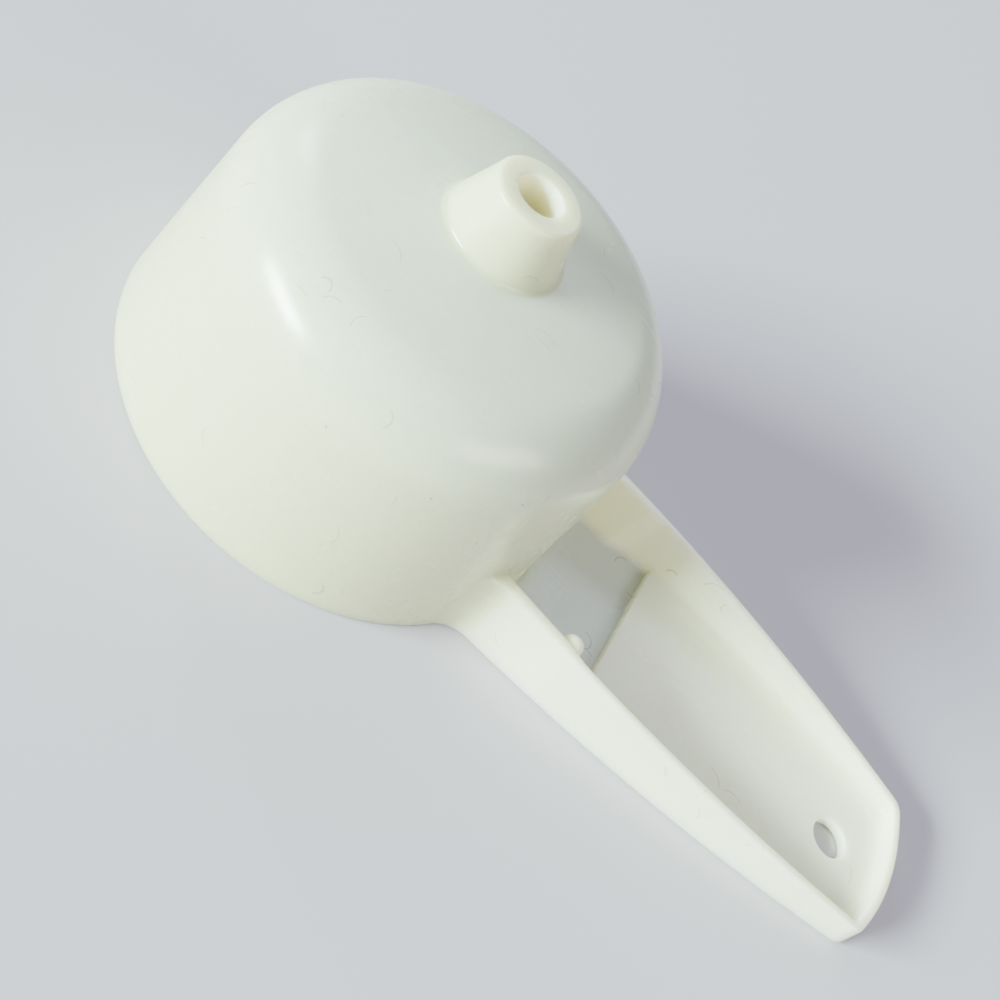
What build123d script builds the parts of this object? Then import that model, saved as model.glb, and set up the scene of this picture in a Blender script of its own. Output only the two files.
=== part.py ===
from build123d import *
import os
from math import hypot, radians, tan

# One-piece moulded kitchen funnel, resting mouth down.
# Origin: centre of the mouth rim, on its plane.  +Z towards the spout, +X along the handle.
# All sizes in millimetres.

# Cup
MOUTH_RADIUS = 28.0
WALL_LEAN = 0.066          # radius lost per mm of height
CORNER_HEIGHT = 29.2       # height where the wall line and the dome line would cross
DOME_SLOPE = 0.20          # rise per mm towards the axis
SHOULDER_RADIUS = 9.8
SKIN = 1.5                 # thickness of the cup

# Spout
SPOUT_BASE_RADIUS = 7.05
SPOUT_BASE_HEIGHT = 32.4
SPOUT_TIP_RADIUS = 5.0
SPOUT_TOP = 39.15
SPOUT_EDGE_RADIUS = 0.5
OUTLET_RADIUS = 2.65
OUTLET_LENGTH = 5.0
THROAT_RADIUS = 5.4
THROAT_RISE = 0.15         # the throat starts this much above the inside edge of the dome

# Handle
HANDLE_ROOT = (20.0, 14.1)         # half outline: x, half width
HANDLE_PULL = (51.8, 16.2)         # control point that bows the sides
HANDLE_CORNER = (83.6, 10.8)
HANDLE_TIP = 85.7
HANDLE_CORNER_RADIUS = 2.2
HANDLE_DRAFT = 0.05                # the outer faces lean in this much per mm of height
FLOOR = 1.6
RAIL = 1.5                         # thickness of the side walls and tip rim
RAIL_TOP = [(20.0, 10.45), (53.0, 7.3), (88.0, 3.3)]   # x and height of the wall tops
TIP_RIM_START = 81.0
PAD_END = (34.6, 37.3)             # where the thick root of the walls starts and stops thinning
PAD_LOW = 0.9                      # extra thickness at the foot of the walls
PAD_HIGH = 0.4                     # extra thickness at the top of the walls
WELL_END = 41.1                    # the floor is thinner between the cup and this x
WELL_FLOOR = 0.6
HANG_X = 77.0
HANG_RADIUS = 2.45
HANG_EDGE = 0.25

# Nub on the inner face of the right side wall
NUB_X = 35.47
NUB_RADIUS = 1.35
NUB_HEIGHT = 7.62


def offset_corner(depth):
    """Radius and height where the wall and dome lines cross, moved in by depth."""
    wall_shift = depth * hypot(1, WALL_LEAN)
    dome_shift = depth * hypot(1, DOME_SLOPE)
    mouth = MOUTH_RADIUS - wall_shift
    dome_at_axis = CORNER_HEIGHT + DOME_SLOPE * (MOUTH_RADIUS - WALL_LEAN * CORNER_HEIGHT) - dome_shift
    height = (dome_at_axis - DOME_SLOPE * mouth) / (1 - DOME_SLOPE * WALL_LEAN)
    return mouth, mouth - WALL_LEAN * height, height


def shoulder_points(depth):
    """Start, middle and end of the shoulder arc for a surface moved in by depth."""
    mouth, corner_r, corner_z = offset_corner(depth)
    radius = SHOULDER_RADIUS - depth
    up = Vector(-WALL_LEAN, 1, 0).normalized()
    inward = Vector(-1, DOME_SLOPE, 0).normalized()
    corner = Vector(corner_r, corner_z, 0)
    half_angle = radians((-up).get_angle(inward) / 2)
    reach = radius / tan(half_angle)
    start = corner - up * reach
    end = corner + inward * reach
    bisector = (inward - up).normalized()
    middle = corner + bisector * (hypot(radius, reach) - radius)
    return start, middle, end


def dome_line(depth):
    """Gently crowned dome, from the shoulder to the foot of the spout."""
    end = shoulder_points(depth)[2]
    foot = (SPOUT_BASE_RADIUS, SPOUT_BASE_HEIGHT - depth)
    return TangentArc(end, foot, tangent=(-1, DOME_SLOPE))


def revolve_outline(edges):
    """Solid of revolution about Z from a closed (radius, height) outline."""
    face = make_face(Plane.XZ * edges)
    return revolve(face, axis=Axis.Z, revolution_arc=360)


def outline(points):
    """Closed polyline through (radius, height) points."""
    return Polyline([*points, points[0]])


def cup_wall():
    outer_start = shoulder_points(0)[0]
    inner_start = shoulder_points(SKIN)[0]
    mouth_in = offset_corner(SKIN)[0]
    return revolve_outline(outline([
        (MOUTH_RADIUS, 0),
        (outer_start.X, outer_start.Y),
        (inner_start.X, inner_start.Y),
        (mouth_in, 0),
    ]))


def cup_shoulder():
    start, middle, end = shoulder_points(0)
    in_start, in_middle, in_end = shoulder_points(SKIN)
    edges = Curve() + [
        ThreePointArc(start, middle, end),
        Line(end, in_end),
        ThreePointArc(in_end, in_middle, in_start),
        Line(in_start, start),
    ]
    return revolve_outline(edges)


def cup_dome():
    outer = dome_line(0)
    inner = dome_line(SKIN)
    edges = Curve() + [outer, Line(outer @ 1, inner @ 1), inner, Line(inner @ 0, outer @ 0)]
    return revolve_outline(edges)


def spout():
    inside = SPOUT_BASE_HEIGHT - SKIN
    body = revolve_outline(outline([
        (SPOUT_BASE_RADIUS, inside),
        (SPOUT_BASE_RADIUS, SPOUT_BASE_HEIGHT),
        (SPOUT_TIP_RADIUS, SPOUT_TOP),
        (OUTLET_RADIUS, SPOUT_TOP),
        (OUTLET_RADIUS, SPOUT_TOP - OUTLET_LENGTH),
        (THROAT_RADIUS, inside + THROAT_RISE),
    ]))
    tip_edges = body.edges().filter_by(GeomType.CIRCLE).group_by(Axis.Z)[-1]
    return fillet(tip_edges.sort_by(SortBy.RADIUS)[-1:], SPOUT_EDGE_RADIUS)


def cup_envelope():
    """The whole outside of the cup as one solid, to trim the handle against."""
    start, middle, end = shoulder_points(0)
    edges = Curve() + [
        Line((0, -5), (MOUTH_RADIUS + 5 * WALL_LEAN, -5)),
        Line((MOUTH_RADIUS + 5 * WALL_LEAN, -5), start),
        ThreePointArc(start, middle, end),
        Line(end, (0, end.Y)),
        Line((0, end.Y), (0, -5)),
    ]
    return revolve_outline(edges)


def handle_plan(inset, corner_radius):
    """Handle outline from above, pulled in by inset on the sides and tip."""
    root = (HANDLE_ROOT[0], HANDLE_ROOT[1] - inset)
    pull = (HANDLE_PULL[0], HANDLE_PULL[1] - inset)
    corner = (HANDLE_CORNER[0] - inset, HANDLE_CORNER[1] - inset)
    edges = Curve() + [
        Bezier(root, pull, corner),
        ThreePointArc(corner, (HANDLE_TIP - inset, 0), (corner[0], -corner[1])),
        Bezier((corner[0], -corner[1]), (pull[0], -pull[1]), (root[0], -root[1])),
        Line((root[0], -root[1]), root),
    ]
    face = make_face(edges)
    corners = face.vertices().sort_by(Axis.X)[-2:]
    return fillet(corners, corner_radius)


def root_pad(side):
    """Wedge that thickens the root of one side wall; side is +1 or -1."""
    inner = HANDLE_ROOT[1] - RAIL

    def section(extra, z, shift):
        points = [
            (HANDLE_ROOT[0], side * (inner - extra)),
            (PAD_END[0] + shift, side * (inner + 0.6 - extra)),
            (PAD_END[1] + shift / 2, side * (inner + 0.7)),
            (PAD_END[1] + shift / 2, side * (inner + 3)),
            (HANDLE_ROOT[0], side * (inner + 3)),
        ]
        return Pos(0, 0, z) * make_face(outline(points))

    return loft([section(PAD_LOW, 0, -0.4), section(PAD_HIGH, 12, 0.6)], ruled=True)


def handle_body():
    """Channel handle with its floor, side walls and tip rim, trimmed to the cup."""
    top = 12.0
    low = handle_plan(0, HANDLE_CORNER_RADIUS)
    high = Pos(0, 0, top) * handle_plan(top * HANDLE_DRAFT, HANDLE_CORNER_RADIUS)
    block = loft([low, high], ruled=True)
    x0, x1 = HANDLE_ROOT[0] - 1, HANDLE_TIP + 5
    side_edges = Curve() + [
        Line((x0, 0), (x0, RAIL_TOP[0][1])),
        Line((x0, RAIL_TOP[0][1]), RAIL_TOP[0]),
        Bezier(*RAIL_TOP),
        Line(RAIL_TOP[2], (x1, RAIL_TOP[2][1])),
        Line((x1, RAIL_TOP[2][1]), (x1, 0)),
        Line((x1, 0), (x0, 0)),
    ]
    side_view = make_face(Plane.XZ * side_edges)
    block = block & extrude(side_view, 20, both=True)
    inner = handle_plan(RAIL, 1.2)
    channel = Pos(0, 0, FLOOR) * extrude(inner, 12)
    well = Pos(0, 0, WELL_FLOOR) * extrude(inner, 12) & cut_box(0, WELL_END, -30, 30, 0, 20)
    hollow = channel + well - root_pad(1) - root_pad(-1)
    return block - hollow - cup_envelope()


def cut_box(x_min, x_max, y_min, y_max, z_min, z_max):
    size = (x_max - x_min, y_max - y_min, z_max - z_min)
    centre = ((x_max + x_min) / 2, (y_max + y_min) / 2, (z_max + z_min) / 2)
    return Pos(*centre) * Box(*size)


def handle_floor(body):
    """Bottom plate with the shallow well beside the cup and the hanging hole."""
    plate = body & cut_box(0, 100, -30, 30, -1, FLOOR)
    hole = Pos(HANG_X, 0, 0) * Cylinder(HANG_RADIUS, 4 * FLOOR)
    floor = plate - hole
    rims = floor.edges().filter_by(GeomType.CIRCLE)
    rims = rims.filter_by(lambda e: abs(e.radius - HANG_RADIUS) < 0.01)
    return chamfer(rims, HANG_EDGE)


def handle_wall(body, floor, side):
    y_min, y_max = (0, 30) if side > 0 else (-30, 0)
    return body & cut_box(0, TIP_RIM_START, y_min, y_max, FLOOR, 20) - floor


def handle_tip_rim(body):
    return body & cut_box(TIP_RIM_START, 100, -30, 30, FLOOR, 20)


def nub(wall):
    """Small rounded stud on the inner face of the right side wall."""
    y = RAIL + PAD_HIGH - HANDLE_ROOT[1] + 0.5
    ball = Pos(NUB_X, y, NUB_HEIGHT) * Sphere(NUB_RADIUS)
    return ball - wall


os.makedirs("parts", exist_ok=True)
body = handle_body()
floor = handle_floor(body)
left = handle_wall(body, floor, 1)
right = handle_wall(body, floor, -1)
shapes = {
    "cup_wall": cup_wall(),
    "cup_shoulder": cup_shoulder(),
    "cup_dome": cup_dome(),
    "spout": spout(),
    "handle_floor": floor,
    "handle_wall_left": left,
    "handle_wall_right": right,
    "handle_tip_rim": handle_tip_rim(body),
    "nub": nub(right),
}
export_step(shapes["cup_wall"], "parts/cup_wall.step")
export_step(shapes["cup_shoulder"], "parts/cup_shoulder.step")
export_step(shapes["cup_dome"], "parts/cup_dome.step")
export_step(shapes["spout"], "parts/spout.step")
export_step(shapes["handle_floor"], "parts/handle_floor.step")
export_step(shapes["handle_wall_left"], "parts/handle_wall_left.step")
export_step(shapes["handle_wall_right"], "parts/handle_wall_right.step")
export_step(shapes["handle_tip_rim"], "parts/handle_tip_rim.step")
export_step(shapes["nub"], "parts/nub.step")
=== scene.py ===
"""One-piece moulded kitchen funnel: a milky polyethylene cup with a short spout and a channel handle."""

import math

import bmesh
import bpy
import numpy as np
from mathutils import Matrix, Vector


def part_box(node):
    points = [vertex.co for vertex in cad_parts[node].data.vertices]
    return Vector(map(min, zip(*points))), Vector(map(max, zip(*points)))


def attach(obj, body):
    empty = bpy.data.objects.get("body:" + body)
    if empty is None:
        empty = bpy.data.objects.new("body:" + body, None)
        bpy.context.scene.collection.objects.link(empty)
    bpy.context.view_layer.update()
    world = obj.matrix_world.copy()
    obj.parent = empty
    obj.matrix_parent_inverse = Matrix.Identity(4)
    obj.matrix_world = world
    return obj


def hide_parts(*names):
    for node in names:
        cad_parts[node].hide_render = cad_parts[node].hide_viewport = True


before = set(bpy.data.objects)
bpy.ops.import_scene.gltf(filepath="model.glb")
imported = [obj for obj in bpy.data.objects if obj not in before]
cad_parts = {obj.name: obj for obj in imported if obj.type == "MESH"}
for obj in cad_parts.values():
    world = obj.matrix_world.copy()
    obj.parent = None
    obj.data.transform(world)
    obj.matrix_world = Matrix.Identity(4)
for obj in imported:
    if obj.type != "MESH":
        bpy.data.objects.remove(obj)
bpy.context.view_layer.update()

MM = 0.001
ALL_NODES = sorted(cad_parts)

# Sizes that the solids already give
MOUTH_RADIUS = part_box("cup_wall")[1].x
SHOULDER_START = Vector((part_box("cup_shoulder")[1].x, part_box("cup_wall")[1].z))
SHOULDER_END = Vector((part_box("cup_dome")[1].x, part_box("cup_shoulder")[1].z))
SPOUT_FOOT = Vector((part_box("spout")[1].x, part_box("cup_dome")[1].z))
SPOUT_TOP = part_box("spout")[1].z
HANDLE_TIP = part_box("handle_floor")[1].x

# Cup and spout sizes in metres
SKIN = 1.5 * MM
SHOULDER_RADIUS = 9.8 * MM
SPOUT_TIP_RADIUS = 5.0 * MM
OUTLET_RADIUS = 2.65 * MM
OUTLET_LENGTH = 5.0 * MM
THROAT_RADIUS = 5.4 * MM
THROAT_RISE = 0.15 * MM
DOME_ROUND = 0.105
DOME_ROUND_INSIDE = 0.1
OUTLET_ROUND = 0.6 * MM

# Handle sizes in millimetres, as the handle's own functions use them
ROOT_X, ROOT_HALF = 20.0, 14.1
PULL_HALF = 16.2
CORNER_X, CORNER_HALF = 83.6, 10.8
TIP_ARC = 28.8
CORNER_ROUND = 2.2
CORNER_PULL = 0.56
CORNER_WEIGHT = 0.87
DRAFT = 0.05
UNDERSIDE = 0.05
FLOOR = 1.6
RAIL = 1.5
RAIL_TOP = ((20.0, 10.45), (53.0, 7.3), (88.0, 3.3))
PAD_ENDS = (34.6, 37.3)
PAD_LOW, PAD_HIGH, PAD_TOP = 0.9, 0.4, 12.0
WELL_END, WELL_FLOOR, WELL_STEP = 41.1, 0.6, 0.24
CUP_LEAN = 0.066
ROOT_FOOT = 13.0
BOW_END, BOW_FADE = 31.0, 5.0
SPREAD_FROM = 60.0
OUTER_BLEND, INNER_BLEND = 2.4, 0.5
HANG_X, HANG_RADIUS = 77.0, 2.45
NUB = (35.47, -11.7, 7.62, 1.35)


# ---------------------------------------------------------------- node trees

class Tree:
    """Small helper that adds nodes to a geometry or shader tree and links them."""

    def __init__(self, group):
        self.group = group

    def add(self, kind, settings=None, **inputs):
        node = self.group.nodes.new(kind)
        for key, value in (settings or {}).items():
            setattr(node, key, value)
        for key, value in inputs.items():
            self.feed(node.inputs[key.replace("_", " ")], value)
        return node

    def feed(self, socket, value):
        if isinstance(value, bpy.types.NodeSocket):
            self.group.links.new(value, socket)
        else:
            socket.default_value = value

    def calc(self, operation, *values):
        node = self.group.nodes.new("ShaderNodeMath")
        node.operation = operation
        for socket, value in zip(node.inputs, values):
            self.feed(socket, value)
        return node.outputs[0]

    def vector(self, operation, *values):
        node = self.group.nodes.new("ShaderNodeVectorMath")
        node.operation = operation
        for socket, value in zip(node.inputs, values):
            self.feed(socket, value)
        is_number = operation in ("LENGTH", "DISTANCE", "DOT_PRODUCT")
        return node.outputs["Value" if is_number else "Vector"]


def evaluated_mesh(obj):
    """The object's mesh with its modifiers applied, as new plain data."""
    bpy.context.view_layer.update()
    depsgraph = bpy.context.evaluated_depsgraph_get()
    return bpy.data.meshes.new_from_object(obj.evaluated_get(depsgraph))


def link_object(name, mesh):
    obj = bpy.data.objects.new(name, mesh)
    bpy.context.scene.collection.objects.link(obj)
    return obj


def object_from(name, mesh):
    """Turn an edit mesh into a linked object and free it."""
    data = bpy.data.meshes.new(name)
    mesh.to_mesh(data)
    mesh.free()
    return link_object(name, data)


def bake_modifiers(obj):
    """Replace the object's mesh with the result of its modifiers and remove them."""
    mesh = evaluated_mesh(obj)
    obj.modifiers.clear()
    old = obj.data
    obj.data = mesh
    bpy.data.meshes.remove(old)


# ---------------------------------------------------------------- cup and spout

def shoulder_corner():
    """Point where the lines of the wall and the dome would cross."""
    up = Vector((SHOULDER_START.x - MOUTH_RADIUS, SHOULDER_START.y)).normalized()
    span = SHOULDER_END - SHOULDER_START
    return SHOULDER_START + up * (span.length_squared / (2 * span.dot(up)))


def turned_shell_tree():
    """Geometry Nodes tree: a closed outline with rounded corners, swept round the axis."""
    group = bpy.data.node_groups.new("turned_shell", "GeometryNodeTree")
    face = group.interface
    face.new_socket("Geometry", in_out="INPUT", socket_type="NodeSocketGeometry")
    names = [
        "Mouth radius", "Shoulder line radius", "Shoulder line height", "Shoulder round",
        "Dome middle radius", "Dome middle height", "Spout foot radius", "Spout foot height",
        "Spout foot round", "Spout tip radius", "Spout top", "Spout tip round", "Outlet radius",
        "Outlet length", "Throat radius", "Throat height", "Skin", "Inner wall shift",
        "Inner shoulder radius", "Inner shoulder height", "Lip round", "Spacing",
    ]
    for name in names:
        face.new_socket(name, in_out="INPUT", socket_type="NodeSocketFloat")
    face.new_socket("Segments", in_out="INPUT", socket_type="NodeSocketInt")
    face.new_socket("Material", in_out="INPUT", socket_type="NodeSocketMaterial")
    face.new_socket("Geometry", in_out="OUTPUT", socket_type="NodeSocketGeometry")
    tree = Tree(group)
    size = group.nodes.new("NodeGroupInput").outputs
    # The sweep runs round a circle of the outlet's radius, so radii are measured from it
    path_radius = size["Outlet radius"]

    def minus(a, b):
        return tree.calc("SUBTRACT", a, b)

    skin = size["Skin"]
    corners = [
        (size["Mouth radius"], 0.0, size["Lip round"], 4),
        (size["Shoulder line radius"], size["Shoulder line height"], size["Shoulder round"], 26),
        (size["Dome middle radius"], size["Dome middle height"], DOME_ROUND, 12),
        (size["Spout foot radius"], size["Spout foot height"], size["Spout foot round"], 7),
        (size["Spout tip radius"], size["Spout top"], size["Spout tip round"], 7),
        (size["Outlet radius"], size["Spout top"], size["Lip round"], 4),
        (size["Outlet radius"], minus(size["Spout top"], size["Outlet length"]), OUTLET_ROUND, 5),
        (size["Throat radius"], size["Throat height"], OUTLET_ROUND, 5),
        (size["Dome middle radius"], minus(size["Dome middle height"], skin), DOME_ROUND_INSIDE, 8),
        (size["Inner shoulder radius"], size["Inner shoulder height"],
         minus(size["Shoulder round"], skin), 18),
        (minus(size["Mouth radius"], size["Inner wall shift"]), 0.0, size["Lip round"], 4),
    ]
    index = group.nodes.new("GeometryNodeInputIndex").outputs[0]

    def by_index(data_type, values):
        switch = group.nodes.new("GeometryNodeIndexSwitch")
        switch.data_type = data_type
        while len(switch.index_switch_items) < len(values):
            switch.index_switch_items.new()
        tree.feed(switch.inputs["Index"], index)
        for number, value in enumerate(values):
            tree.feed(switch.inputs[number + 1], value)
        return switch.outputs[0]

    places = []
    for radius, height, _round, _count in corners:
        place = group.nodes.new("ShaderNodeCombineXYZ")
        tree.feed(place.inputs["X"], minus(radius, path_radius))
        tree.feed(place.inputs["Y"], tree.calc("MULTIPLY", height, -1.0))
        places.append(place.outputs[0])
    points = tree.add("GeometryNodePoints", Count=len(corners), Position=by_index("VECTOR", places))
    line = tree.add("GeometryNodePointsToCurves", Points=points.outputs[0])
    ring = tree.add("GeometryNodeSetSplineCyclic", Geometry=line.outputs[0], Cyclic=True)
    rounded = tree.add(
        "GeometryNodeFilletCurve", {"mode": "POLY"}, Curve=ring.outputs[0],
        Count=by_index("INT", [corner[3] for corner in corners]),
        Radius=by_index("FLOAT", [corner[2] for corner in corners]), Limit_Radius=True,
    )
    # Long straight stretches are cut to the stated spacing
    along = group.nodes.new("GeometryNodeSplineParameter").outputs["Length"]
    following = tree.add("GeometryNodeFieldAtIndex", {"data_type": "FLOAT"},
                         Value=along, Index=tree.calc("ADD", index, 1.0))
    stretch = minus(following.outputs[0], along)
    cuts = tree.calc("FLOOR", tree.calc("DIVIDE", stretch, size["Spacing"]))
    dense = tree.add("GeometryNodeSubdivideCurve", Curve=rounded.outputs[0],
                     Cuts=tree.calc("MAXIMUM", cuts, 0.0))
    circle = tree.add("GeometryNodeCurvePrimitiveCircle", Resolution=size["Segments"],
                      Radius=path_radius)
    sweep = group.nodes.new("GeometryNodeCurveToMesh")
    tree.feed(sweep.inputs["Curve"], circle.outputs[0])
    tree.feed(sweep.inputs["Profile Curve"], dense.outputs[0])
    outward = tree.add("GeometryNodeFlipFaces", Mesh=sweep.outputs[0])
    smooth = tree.add("GeometryNodeSetShadeSmooth", Geometry=outward.outputs[0])
    real = tree.add("GeometryNodeRealizeInstances", Geometry=smooth.outputs[0])
    coat = tree.add("GeometryNodeSetMaterial", Geometry=real.outputs[0], Material=size["Material"])
    out = group.nodes.new("NodeGroupOutput")
    tree.feed(out.inputs[0], coat.outputs[0])
    return group


def make_cup(material):
    """Cup, dome and spout as one turned shell with its through hole."""
    corner = shoulder_corner()
    wall_in = SKIN * math.hypot(1, CUP_LEAN)
    slope = (SHOULDER_END.y - corner.y) / (corner.x - SHOULDER_END.x)
    dome_in = SKIN * math.hypot(1, slope)
    inner_mouth = MOUTH_RADIUS - wall_in
    dome_axis = corner.y + slope * corner.x - dome_in
    inner_height = (dome_axis - slope * inner_mouth) / (1 - slope * CUP_LEAN)
    middle = (SHOULDER_END.x + SPOUT_FOOT.x) / 2
    sizes = {
        "Mouth radius": MOUTH_RADIUS,
        "Shoulder line radius": corner.x,
        "Shoulder line height": corner.y,
        "Shoulder round": SHOULDER_RADIUS,
        "Dome middle radius": middle,
        "Dome middle height": SHOULDER_END.y + slope * (SHOULDER_END.x - middle),
        "Spout foot radius": SPOUT_FOOT.x,
        "Spout foot height": SPOUT_FOOT.y,
        "Spout foot round": 0.9 * MM,
        "Spout tip radius": SPOUT_TIP_RADIUS,
        "Spout top": SPOUT_TOP,
        "Spout tip round": 0.55 * MM,
        "Outlet radius": OUTLET_RADIUS,
        "Outlet length": OUTLET_LENGTH,
        "Throat radius": THROAT_RADIUS,
        "Throat height": SPOUT_FOOT.y - SKIN + THROAT_RISE,
        "Skin": SKIN,
        "Inner wall shift": wall_in,
        "Inner shoulder radius": inner_mouth - CUP_LEAN * inner_height,
        "Inner shoulder height": inner_height,
        "Lip round": 0.3 * MM,
        "Spacing": 0.9 * MM,
        "Segments": 224,
        "Material": material,
    }
    obj = link_object("cup_shell", bpy.data.meshes.new("cup_shell"))
    modifier = obj.modifiers.new("turned_shell", "NODES")
    modifier.node_group = turned_shell_tree()
    sockets = {item.name: item.identifier for item in modifier.node_group.interface.items_tree
               if item.in_out == "INPUT"}
    for name, value in sizes.items():
        modifier[sockets[name]] = value
    bake_modifiers(obj)
    return obj


# ---------------------------------------------------------------- handle

def half_width(x):
    """Half the handle's width at its foot."""
    t = (x - ROOT_X) / (CORNER_X - ROOT_X)
    return (1 - t) ** 2 * ROOT_HALF + 2 * t * (1 - t) * PULL_HALF + t ** 2 * CORNER_HALF


def rail_top(x):
    """Height of the side walls along the handle."""
    (x0, z0), (x1, z1), (x2, z2) = RAIL_TOP
    bend = x0 - 2 * x1 + x2
    lead = 2 * (x1 - x0)
    t = (-lead + np.sqrt(lead ** 2 + 4 * bend * (x - x0))) / (2 * bend)
    return (1 - t) ** 2 * z0 + 2 * t * (1 - t) * z1 + t ** 2 * z2


def edge_points(inset, marks, corner_steps, tip_steps):
    """One side of the handle's outline, pulled in by inset, from the cup to the tip's middle.

    Near the cup the points of one mark share a distance from the cup's axis.
    Past the root they share an x.
    """
    x = np.linspace(ROOT_X - 2, 92, 3000)
    y = half_width(x) - inset
    arc_centre = HANDLE_TIP / MM - TIP_ARC
    arc = TIP_ARC - inset
    reach = arc_centre + np.sqrt(np.maximum(arc ** 2 - y ** 2, 0))
    last = np.argmax(x > reach)
    corner = np.array((x[last], y[last]))
    back = max(CORNER_ROUND - 0.65 * inset, 0.6) * CORNER_PULL
    distance = np.hypot(x - corner[0], y - corner[1])
    start = np.argmax((distance < back) & (x < corner[0]))
    straight = straightness(marks)
    radius = np.hypot(marks, ROOT_FOOT)
    stretch = np.clip((marks - SPREAD_FROM) / (marks[-1] - SPREAD_FROM), 0, 1)
    level = marks + (x[start] - marks[-1]) * stretch
    side_x = marks.copy()
    for _ in range(6):
        side_y = half_width(side_x) - inset
        side_x = (1 - straight) * np.sqrt(np.maximum(radius ** 2 - side_y ** 2, 0)) + straight * level
    side_y = half_width(side_x) - inset
    first_angle = math.asin(corner[1] / arc) - back / arc
    angles = np.linspace(first_angle, 0, tip_steps)
    tip_x = arc_centre + arc * np.cos(angles)
    tip_y = arc * np.sin(angles)
    t = np.linspace(0, 1, corner_steps + 2)[1:-1]
    pull = 2 * t * (1 - t) * CORNER_WEIGHT
    total = (1 - t) ** 2 + pull + t ** 2
    turn_x = ((1 - t) ** 2 * side_x[-1] + pull * corner[0] + t ** 2 * tip_x[0]) / total
    turn_y = ((1 - t) ** 2 * side_y[-1] + pull * corner[1] + t ** 2 * tip_y[0]) / total
    return np.concatenate([side_x, turn_x, tip_x]), np.concatenate([side_y, turn_y, tip_y])


def straightness(marks):
    """Nought where cross lines bow with the cup, one where they run straight across."""
    return smooth_step((marks - BOW_END) / BOW_FADE)


def smooth_step(value):
    value = np.clip(value, 0, 1)
    return value * value * (3 - 2 * value)


def pad_extra(x, z):
    """Extra wall thickness at the root, which thins out along a slanted ramp."""
    rise = np.clip(z / PAD_TOP, 0, 1)
    depth = PAD_LOW + (PAD_HIGH - PAD_LOW) * rise
    begin = PAD_ENDS[0] - 0.4 + rise
    end = PAD_ENDS[1] - 0.2 + 0.5 * rise
    return depth * (1 - np.clip((x - begin) / (end - begin), 0, 1))


def floor_height(x):
    """Top of the floor, with the shallow well between the cup and its step."""
    return WELL_FLOOR + (FLOOR - WELL_FLOOR) * smooth_step((x - WELL_END) / WELL_STEP + 0.5)


def cup_gap(x, y, z):
    """Distance from the outside of the cup."""
    return (np.hypot(x, y) - (MOUTH_RADIUS / MM - CUP_LEAN * z)) / math.hypot(1, CUP_LEAN)


def blend_rise(gap, blend):
    """How far a surface of the handle swells out as it nears the cup, as a concave round."""
    gap = np.clip(gap, 0, blend)
    return blend - np.sqrt(blend ** 2 - (blend - gap) ** 2)


def rail_section(x, steps=6):
    """Outline of one rail at stations x: lists of inset, height and outward direction."""
    top = rail_top(x)
    inner_top = RAIL + pad_extra(x, top)
    floor = floor_height(x)
    rows = []

    def row(inset, z, side, up):
        rows.append((np.broadcast_to(inset, x.shape), np.broadcast_to(z, x.shape),
                     np.full_like(x, side), np.full_like(x, up)))

    base, edge, inner_edge, hollow = 0.45, 0.42, 0.28, 1.0
    for inset in (6.0, 3.0, 1.2):
        row(inset, UNDERSIDE, 0, 0)
    for angle in np.linspace(0, math.pi / 2, steps):
        z = UNDERSIDE + base - base * math.cos(angle)
        row(base - base * math.sin(angle), z, -math.sin(angle), 0)
    for part in np.linspace(0, 1, 9)[1:-1]:
        z = base + (top - edge - base) * part
        row(DRAFT * z, z, -1, 0)
    for angle in np.linspace(0, math.pi / 2, steps):
        inset = DRAFT * top + edge - edge * math.cos(angle)
        row(inset, top - edge + edge * math.sin(angle), -math.cos(angle), math.sin(angle))
    for angle in np.linspace(math.pi / 2, 0, steps):
        inset = inner_top - inner_edge + inner_edge * math.cos(angle)
        row(inset, top - inner_edge + inner_edge * math.sin(angle), math.cos(angle), math.sin(angle))
    for part in np.linspace(1, 0, 9)[1:-1]:
        z = floor + hollow + (top - inner_edge - floor - hollow) * part
        row(RAIL + pad_extra(x, z), z, 1, 0)
    for angle in np.linspace(0, math.pi / 2, steps + 2):
        z = floor + hollow - hollow * math.sin(angle)
        inset = RAIL + pad_extra(x, z) + hollow - hollow * math.cos(angle)
        row(inset, z, math.cos(angle), math.sin(angle))
    for inset in (4.2, 6.0):
        row(inset, floor, 0, 1)
    return [np.array(part) for part in zip(*rows)]


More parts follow.
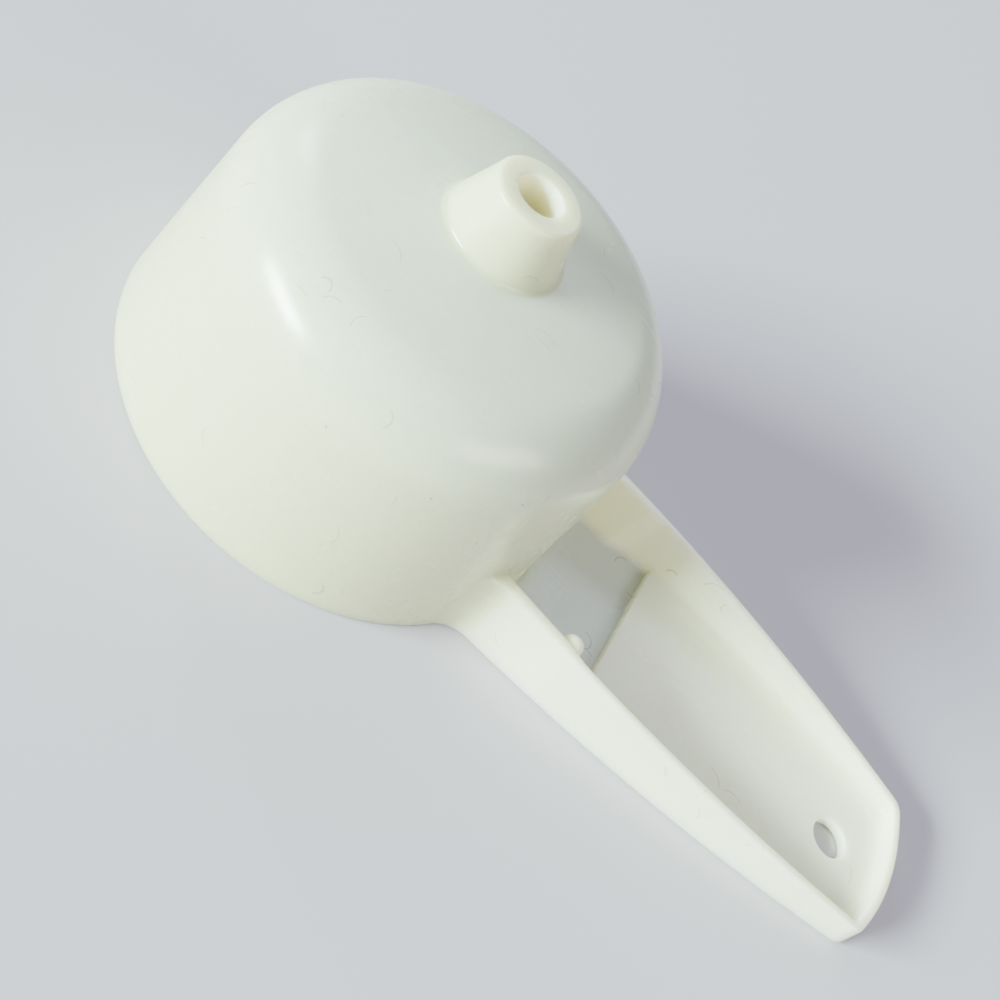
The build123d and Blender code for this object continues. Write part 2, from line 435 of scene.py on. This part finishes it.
def make_handle():
    """Channel handle: floor, side rails and tip rim in one skin, swelling where it meets the cup."""
    # Stations are closest at the cup, along the ramp of the thick root and at the well's step
    marks = np.concatenate([
        np.arange(23.7, 27.6, 0.16), np.arange(27.6, 33.6, 0.4), np.arange(33.6, 38.0, 0.22),
        np.arange(38.0, 40.8, 0.5), WELL_END + np.linspace(-0.2, 0.2, 15),
        np.arange(41.6, 81.5, 0.9), [82.0],
    ])
    corner_steps, tip_steps = 8, 16
    insets = np.arange(-3.0, 8.6, 0.25)
    paths = [edge_points(inset, marks, corner_steps, tip_steps) for inset in insets]
    path_x = np.array([path[0] for path in paths])
    path_y = np.array([path[1] for path in paths])
    count = path_x.shape[1]
    stations = np.arange(count)

    def place(inset):
        level = (inset - insets[0]) / (insets[1] - insets[0])
        low = np.clip(np.floor(level).astype(int), 0, len(insets) - 2)
        share = level - low
        x = path_x[low, stations] * (1 - share) + path_x[low + 1, stations] * share
        y = path_y[low, stations] * (1 - share) + path_y[low + 1, stations] * share
        return x, y

    station_x = place(np.full(count, RAIL))[0]
    inset, height, side, up = rail_section(station_x)
    rows = len(inset)
    grid = np.zeros((rows, count, 3))
    for k in range(rows):
        x, y = place(inset[k])
        gap = cup_gap(x, y, height[k])
        lift = up[k] * blend_rise(gap, INNER_BLEND)
        swell = side[k] * blend_rise(gap, OUTER_BLEND if side[k][0] < 0 else INNER_BLEND)
        x, y = place(inset[k] + swell)
        grid[k] = np.stack([x, y, height[k] + lift], axis=1)

    mesh = bmesh.new()

    def new_vert(point):
        return mesh.verts.new(Vector(point) * MM)

    left = [[new_vert(point) for point in grid[k]] for k in range(rows)]
    right = [[new_vert(point * (1, -1, 1)) for point in grid[k][:-1]] + [left[k][-1]]
             for k in range(rows)]
    for k in range(rows - 1):
        for i in range(count - 1):
            mesh.faces.new((left[k][i], left[k][i + 1], left[k + 1][i + 1], left[k + 1][i]))
            mesh.faces.new((right[k + 1][i], right[k + 1][i + 1], right[k][i + 1], right[k][i]))

    across = 14
    straight = np.ones(count)
    straight[:len(marks)] = straightness(marks)

    def middle_rows(k, base_height):
        """Rows of points from the left rail to the right one, bowed like the cup near the cup."""
        result = []
        for i in range(count - 1):
            x_end, y_end = grid[k][i][0], grid[k][i][1]
            radius = math.hypot(x_end, y_end)
            line = [left[k][i]]
            for j in range(1, across):
                y = y_end * (1 - 2 * j / across)
                x = (1 - straight[i]) * math.sqrt(radius ** 2 - y ** 2) + straight[i] * x_end
                z = base_height(x, y)
                line.append(new_vert((x, y, z)))
            line.append(right[k][i])
            result.append(line)
        return result

    def floor_surface(x, y):
        z = float(floor_height(x))
        return z + float(blend_rise(cup_gap(x, y, z), INNER_BLEND))

    top_rows = middle_rows(rows - 1, floor_surface)
    under_rows = middle_rows(0, lambda x, y: UNDERSIDE)
    for table, flip in ((top_rows, False), (under_rows, True)):
        apex = left[rows - 1][-1] if not flip else left[0][-1]
        for i in range(count - 1):
            for j in range(across):
                if i < count - 2:
                    loop = (table[i][j], table[i + 1][j], table[i + 1][j + 1], table[i][j + 1])
                else:
                    loop = (table[i][j], apex, table[i][j + 1])
                mesh.faces.new(loop[::-1] if flip else loop)
    for j in range(across):
        mesh.faces.new((top_rows[0][j], top_rows[0][j + 1], under_rows[0][j + 1], under_rows[0][j]))
    cap_left = mesh.faces.new([left[k][0] for k in range(rows)])
    cap_right = mesh.faces.new([right[k][0] for k in reversed(range(rows))])
    bmesh.ops.triangulate(mesh, faces=[cap_left, cap_right], ngon_method="EAR_CLIP")
    bmesh.ops.recalc_face_normals(mesh, faces=mesh.faces)
    return object_from("handle", mesh)


# ---------------------------------------------------------------- joining

def make_nub():
    """Round stud near the top of the right rail's inner face."""
    x, y, z, radius = NUB
    mesh = bmesh.new()
    bmesh.ops.create_uvsphere(mesh, u_segments=32, v_segments=16, radius=radius * MM,
                              matrix=Matrix.Translation(Vector((x, y, z)) * MM))
    return object_from("nub", mesh)


def make_hole_cutter():
    """Bobbin that cuts the hanging hole and rounds both its edges."""
    low, high, edge = UNDERSIDE, FLOOR, 0.3
    widest = HANG_RADIUS + edge
    outline = [(widest, low - 1)]
    for angle in np.linspace(0, math.pi / 2, 6):
        outline.append((widest - edge * math.sin(angle), low + edge - edge * math.cos(angle)))
    for angle in np.linspace(math.pi / 2, 0, 6):
        outline.append((widest - edge * math.sin(angle), high - edge + edge * math.cos(angle)))
    outline.append((widest, high + 2))
    steps = 72
    mesh = bmesh.new()
    rings = []
    for radius, z in outline:
        ring = []
        for n in range(steps):
            turn = 2 * math.pi * n / steps
            point = Vector((HANG_X + radius * math.cos(turn), radius * math.sin(turn), z))
            ring.append(mesh.verts.new(point * MM))
        rings.append(ring)
    for lower, upper in zip(rings, rings[1:]):
        for n in range(steps):
            m = (n + 1) % steps
            mesh.faces.new((lower[n], lower[m], upper[m], upper[n]))
    mesh.faces.new(rings[0][::-1])
    mesh.faces.new(rings[-1])
    bmesh.ops.recalc_face_normals(mesh, faces=mesh.faces)
    return object_from("hole_cutter", mesh)


SHARP_ANGLE = math.radians(35)


def combine(obj, other, operation):
    """Join or cut one closed mesh with another, which is used up."""
    modifier = obj.modifiers.new("combine", "BOOLEAN")
    modifier.operation = operation
    modifier.solver = "MANIFOLD"
    modifier.object = other
    bake_modifiers(obj)
    bpy.data.objects.remove(other)


# ---------------------------------------------------------------- material

CREAM = (0.62, 0.65, 0.45, 1)
# Warmer, yellower cream: random tone in places, and painted warm shade low on the cup towards the mouth
CREAM_TONE_AND_LOW_SHADE = (0.62, 0.63, 0.38, 1)
# Painted cool reflection of the sky on the dome
SKY_SHEEN_MILK = (0.56, 0.62, 0.53, 1)
# Lighter milk painted on the handle for the stronger light through its thin walls; the moulding is one
# plastic
HANDLE_LIT_MILK = (0.97, 0.99, 0.71, 1)
# Painted warm shade tone for the light inside the well and the spout's bore
RECESS_SHADE_TONE = (0.92, 0.88, 0.68, 1)
GRIME = (0.3, 0.26, 0.16, 1)
SPECK_BROWN = (0.12, 0.09, 0.05, 1)
# Where one tone gives way to the next, in metres from the axis, along the handle or up
HANDLE_FROM = (0.0282, 0.031)
# Height band where the painted warm shade deepens towards the mouth
LOW_SHADE_BELOW = (0.017, 0.001)
# Height band of the painted sky reflection on the dome
DOME_ABOVE = (0.019, 0.031)
SPOUT_EDGE = (0.0068, 0.0082)
# Bounds of the painted shade tone in the well and in the bore
WELL_SIDE = (0.0414, 0.0408)
WELL_TOP = (0.0022, 0.0012)
BORE_SIDE = (0.0029, 0.0026)
BORE_FOOT = (0.030, 0.032)
# Round mark left by a mould pin on the inner face of one rail
PIN_MARK = (0.0403, 0.0131, 0.0051)
PIN_RADIUS = 0.0012
PIN_LINE = (0.00014, 0.00004)


def milky_plastic():
    """Milky polyethylene: cream with random tone and painted warm shade towards the mouth, a painted sky
    reflection on the dome, a handle painted lighter for the light through its thin walls, painted shade
    tone in the well and bore, scuffs, hairs and specks.
    """
    material = bpy.data.materials.new("milky_polyethylene")
    material.use_nodes = True
    tree = Tree(material.node_tree)
    shader = material.node_tree.nodes["Principled BSDF"]
    place = tree.add("ShaderNodeTexCoord").outputs["Object"]
    parts = tree.add("ShaderNodeSeparateXYZ", Vector=place).outputs

    def noise(scale, detail=2.0, vector=place, roughness=0.5):
        node = tree.add("ShaderNodeTexNoise", Vector=vector, Scale=scale, Detail=detail,
                        Roughness=roughness)
        return node.outputs["Fac"]

    def ramp(value, low, high, start=0.0, end=1.0):
        node = tree.add("ShaderNodeMapRange", {"interpolation_type": "SMOOTHSTEP"}, Value=value,
                        From_Min=low, From_Max=high, To_Min=start, To_Max=end)
        return node.outputs[0]

    def mix(factor, first, second):
        node = tree.add("ShaderNodeMix", {"data_type": "RGBA"})
        tree.feed(node.inputs[0], factor)
        tree.feed(node.inputs[6], first)
        tree.feed(node.inputs[7], second)
        return node.outputs[2]

    def times(*values):
        result = values[0]
        for value in values[1:]:
            result = tree.calc("MULTIPLY", result, value)
        return result

    def scratches(turn, scale):
        """Fine straight scratches that run along one direction."""
        turned = tree.add("ShaderNodeMapping", Vector=place, Rotation=turn,
                          Scale=(scale * 0.012, scale, scale * 0.3))
        return ramp(noise(1.0, 0.0, turned.outputs[0]), 0.71, 0.76)

    def fine_hairs(scale, radius, width, share):
        """Short curved lines: part of a ring round the middle of some cells."""
        cells = tree.add("ShaderNodeTexVoronoi", Vector=place, Scale=scale)
        chance = tree.add("ShaderNodeSeparateColor", Color=cells.outputs["Color"]).outputs[1]
        away = tree.vector("NORMALIZE", tree.vector("SUBTRACT", place, cells.outputs["Position"]))
        heading = tree.vector("SUBTRACT", cells.outputs["Color"], (0.5, 0.5, 0.5))
        facing = tree.vector("DOT_PRODUCT", away, tree.vector("NORMALIZE", heading))
        gap = tree.calc("ABSOLUTE", tree.calc("SUBTRACT", cells.outputs["Distance"], radius))
        arc = times(ramp(gap, width, width * 0.3), ramp(facing, 0.72, 0.8))
        return times(arc, tree.calc("GREATER_THAN", chance, 1.0 - share))

    def specks(scale, size, share):
        """Small round dots; share is how many of the cells have one."""
        cells = tree.add("ShaderNodeTexVoronoi", Vector=place, Scale=scale)
        chance = tree.add("ShaderNodeSeparateColor", Color=cells.outputs["Color"]).outputs[0]
        dot = ramp(cells.outputs["Distance"], size, size * 0.5)
        return times(dot, tree.calc("GREATER_THAN", chance, 1.0 - share))

    flat = tree.add("ShaderNodeCombineXYZ", X=parts[0], Y=parts[1])
    reach = tree.vector("LENGTH", flat.outputs[0])
    on_handle = ramp(reach, *HANDLE_FROM)
    low_shade = ramp(parts[2], *LOW_SHADE_BELOW)
    cloud = noise(55.0, 3.0)
    worn = ramp(noise(130.0, 4.0, roughness=0.6), 0.45, 0.7)

    # Random cloudy tone plus painted warm shade that deepens towards the mouth
    tone_and_low_shade = tree.calc("ADD", times(cloud, 0.55), times(low_shade, 0.35))
    body = mix(tone_and_low_shade, CREAM, CREAM_TONE_AND_LOW_SHADE)
    # Painted cool sky reflection on the dome, kept off the spout
    painted_sheen = times(ramp(parts[2], *DOME_ABOVE), ramp(reach, *SPOUT_EDGE))
    body = mix(times(painted_sheen, 0.9), body, SKY_SHEEN_MILK)
    # Handle painted lighter than the cup for the stronger light through its thin walls
    body = mix(times(on_handle, ramp(cloud, 0.2, 0.8, 1.0, 0.75)), body, HANDLE_LIT_MILK)
    # Painted warm shade tone in the well by the cup
    well_shade = times(ramp(parts[0], *WELL_SIDE), ramp(parts[2], *WELL_TOP), on_handle)
    body = mix(times(well_shade, 0.9), body, RECESS_SHADE_TONE)
    # Painted warm shade tone in the spout's bore
    bore_shade = times(ramp(reach, *BORE_SIDE), ramp(parts[2], *BORE_FOOT))
    body = mix(times(bore_shade, 0.9), body, RECESS_SHADE_TONE)
    scuffs = tree.calc("MAXIMUM", scratches((0.3, 0.2, 0.5), 900.0),
                       scratches((0.1, -0.5, -0.7), 1300.0))
    hairs = tree.calc("MAXIMUM", fine_hairs(150.0, 0.3, 0.012, 0.5),
                      fine_hairs(240.0, 0.36, 0.018, 0.4))
    dots = tree.calc("MAXIMUM", specks(210.0, 0.04, 0.06), specks(420.0, 0.06, 0.05))
    body = mix(times(scuffs, worn, 0.08), body, GRIME)
    body = mix(times(hairs, 0.55), body, GRIME)
    body = mix(times(dots, 0.85), body, SPECK_BROWN)
    tree.feed(shader.inputs["Base Color"], body)

    rough = tree.calc("ADD", ramp(cloud, 0.3, 0.7, 0.2, 0.27), times(worn, 0.08))
    tree.feed(shader.inputs["Roughness"], tree.calc("ADD", rough, times(scuffs, 0.04)))

    skin_waves = times(noise(260.0, 2.0), 0.5)
    grain = times(noise(1700.0, 2.0), 0.07)
    relief = tree.calc("ADD", skin_waves, grain)
    relief = tree.calc("SUBTRACT", relief, times(scuffs, 0.02))
    from_pin = tree.vector("DISTANCE", place, PIN_MARK)
    ring_gap = tree.calc("ABSOLUTE", tree.calc("SUBTRACT", from_pin, PIN_RADIUS))
    relief = tree.calc("SUBTRACT", relief, times(ramp(ring_gap, *PIN_LINE), 0.6))
    bump = tree.add("ShaderNodeBump", Height=relief, Strength=0.35, Distance=0.0001)
    tree.feed(shader.inputs["Normal"], bump.outputs[0])

    shader.inputs["IOR"].default_value = 1.5
    shader.inputs["Subsurface Weight"].default_value = 1.0
    shader.inputs["Subsurface Radius"].default_value = (1.0, 0.85, 0.6)
    shader.inputs["Subsurface Scale"].default_value = 0.004
    return material


# ---------------------------------------------------------------- stage

FLOOR_GREY = (0.48, 0.455, 0.57, 1)
# The lights look at this point and the camera stands close above the cup's near side
LIGHT_TARGET = Vector((0.02, 0, 0.02))
CAMERA_PLACE = Vector((-0.770, -131.747, 127.995)) * MM
CAMERA_AHEAD = Vector((0.11493, 0.72735, -0.67658))
CAMERA_RIGHT = Vector((0.72835, 0.40144, 0.55530))


def make_floor():
    """Wide plain floor under the funnel."""
    mesh = bmesh.new()
    bmesh.ops.create_grid(mesh, x_segments=1, y_segments=1, size=3)
    floor = object_from("floor", mesh)
    material = bpy.data.materials.new("floor_paper")
    material.use_nodes = True
    shader = material.node_tree.nodes["Principled BSDF"]
    shader.inputs["Base Color"].default_value = FLOOR_GREY
    shader.inputs["Roughness"].default_value = 0.9
    floor.data.materials.append(material)


def area_light(name, azimuth, elevation, distance, width, height, power, colour):
    """Rectangular light that faces the funnel from a direction given in degrees."""
    turn, rise = math.radians(azimuth), math.radians(elevation)
    level = math.cos(rise)
    away = Vector((math.cos(turn) * level, math.sin(turn) * level, math.sin(rise)))
    data = bpy.data.lights.new(name, "AREA")
    data.shape = "RECTANGLE"
    data.size = width
    data.size_y = height
    data.energy = power
    data.color = colour
    light = bpy.data.objects.new(name, data)
    light.location = away * distance + LIGHT_TARGET
    light.rotation_euler = away.to_track_quat("Z", "Y").to_euler()
    bpy.context.scene.collection.objects.link(light)


def make_world(strength):
    """Even pale light from all round."""
    world = bpy.data.worlds.new("studio")
    world.use_nodes = True
    background = world.node_tree.nodes["Background"]
    background.inputs["Color"].default_value = (0.95, 0.97, 1.0, 1)
    background.inputs["Strength"].default_value = strength
    bpy.context.scene.world = world


def make_camera():
    """Camera close above the cup's near side, rolled so that the handle runs down to the right."""
    data = bpy.data.cameras.new("camera")
    data.sensor_width = 36
    data.lens = 57.4
    data.clip_start = 0.01
    camera = bpy.data.objects.new("camera", data)
    ahead = CAMERA_AHEAD.normalized()
    right = (CAMERA_RIGHT - ahead * CAMERA_RIGHT.dot(ahead)).normalized()
    up = right.cross(ahead)
    turn = Matrix((right, up, -ahead)).transposed().to_4x4()
    camera.matrix_world = Matrix.Translation(CAMERA_PLACE) @ turn
    bpy.context.scene.collection.objects.link(camera)
    bpy.context.scene.camera = camera


def make_funnel():
    """The whole moulding as one closed mesh in place of all the nodes."""
    plastic = milky_plastic()
    funnel = make_cup(plastic)
    handle = make_handle()
    combine(handle, make_hole_cutter(), "DIFFERENCE")
    combine(handle, make_nub(), "UNION")
    combine(funnel, handle, "UNION")
    funnel.name = "funnel_moulding"
    funnel.data.name = "funnel_moulding"
    funnel.data.materials.clear()
    funnel.data.materials.append(plastic)
    funnel.data.shade_smooth()
    funnel.data.set_sharp_from_angle(angle=SHARP_ANGLE)
    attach(funnel, "root")
    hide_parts(*ALL_NODES)


make_funnel()
make_floor()
area_light("window_key", -140, 16, 2.5, 1.28, 0.47, 455, (0.8, 1.0, 0.82))
area_light("window_side", 140, 30, 2.5, 0.36, 0.89, 22, (0.9, 0.98, 1.0))
area_light("sky_panel", 92, 40, 2.5, 2.1, 1.3, 24, (0.8, 0.92, 1.0))
area_light("warm_fill", -20, 30, 2.5, 1.5, 0.8, 44, (1.0, 0.97, 0.86))
make_world(0.36)
make_camera()
